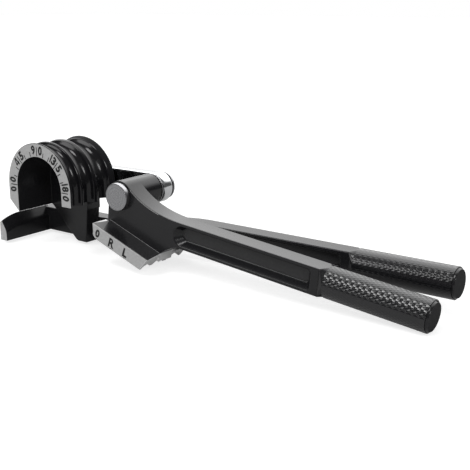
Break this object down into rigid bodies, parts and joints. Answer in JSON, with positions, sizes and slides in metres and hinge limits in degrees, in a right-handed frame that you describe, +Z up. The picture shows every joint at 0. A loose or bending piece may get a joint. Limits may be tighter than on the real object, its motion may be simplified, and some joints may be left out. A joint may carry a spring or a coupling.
{
  "type": "tube bender",
  "caption": "Hand tube bender: grooved half-round former with a degree scale and handle, grooved shoe on a second handle, plated link and pivot pins, knurled grips.",
  "frame": {"origin": "under the middle of the tool's box at its lowest point, in the pose of the picture", "axes": "+X along the handles from the former towards the grips, +Y along the pivots from the degree scale to the link behind, +Z up"},
  "size_m": [0.2458, 0.046, 0.0576],
  "materials": {
    "black_paint": "semi-gloss black coating on cast aluminium, with bare machined faces",
    "chrome_plate": "bright plated steel",
    "bright_steel": "turned and bright plated",
    "spring_steel": "dark oiled spring steel"
  },
  "bodies": {
    "former": {"former_handle": "black_paint", "former_pin": "bright_steel", "former_thrust_washer": "bright_steel", "former_spring_washer": "spring_steel", "former_back_washer": "bright_steel", "former_retaining_ring": "spring_steel"},
    "link": {"pivot_link": "chrome_plate"},
    "forming": {"forming_handle": "black_paint", "forming_pin": "bright_steel", "forming_thrust_washer": "bright_steel", "forming_spring_washer": "spring_steel", "forming_back_washer": "bright_steel", "forming_retaining_ring": "spring_steel"}
  },
  "joints": [
    {"name": "link_swing", "type": "hinge", "parent": "former", "child": "link", "pos_m": [-0.08953, 0, 0.03412], "axis": [0, -1, 0], "range_deg": [0, 180]},
    {"name": "forming_handle_pivot", "type": "hinge", "parent": "link", "child": "forming", "pos_m": [-0.04118, 0, 0.03497], "axis": [0, -1, 0], "range_deg": [-78, 90]}
  ]
}
